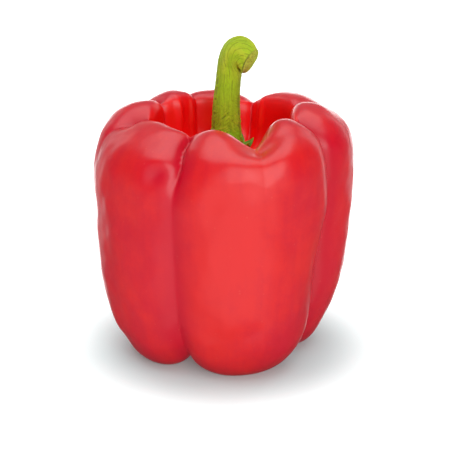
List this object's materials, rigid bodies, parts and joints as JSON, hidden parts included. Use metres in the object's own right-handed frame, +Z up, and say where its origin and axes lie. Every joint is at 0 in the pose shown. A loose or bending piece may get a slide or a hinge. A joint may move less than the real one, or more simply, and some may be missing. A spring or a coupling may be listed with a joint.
{
  "type": "bell pepper",
  "caption": "Blocky lobed bell pepper with a hollow top, a pointed green calyx and a hooked cut stem, standing on its foot lobes.",
  "frame": {"origin": "middle of the bounding box, at the height of the feet", "axes": "+Z up along the stem, -Y towards the lobe that the picture shows in front, +X to its right"},
  "size_m": [0.0842, 0.0822, 0.1049],
  "materials": {
    "skin": "glossy waxy red skin",
    "calyx": "dull green leaf tissue",
    "stem": "dull yellow-green ribbed stalk"
  },
  "bodies": {
    "root": {"fruit": "skin", "calyx": "calyx", "stem": "stem"}
  },
  "joints": []
}
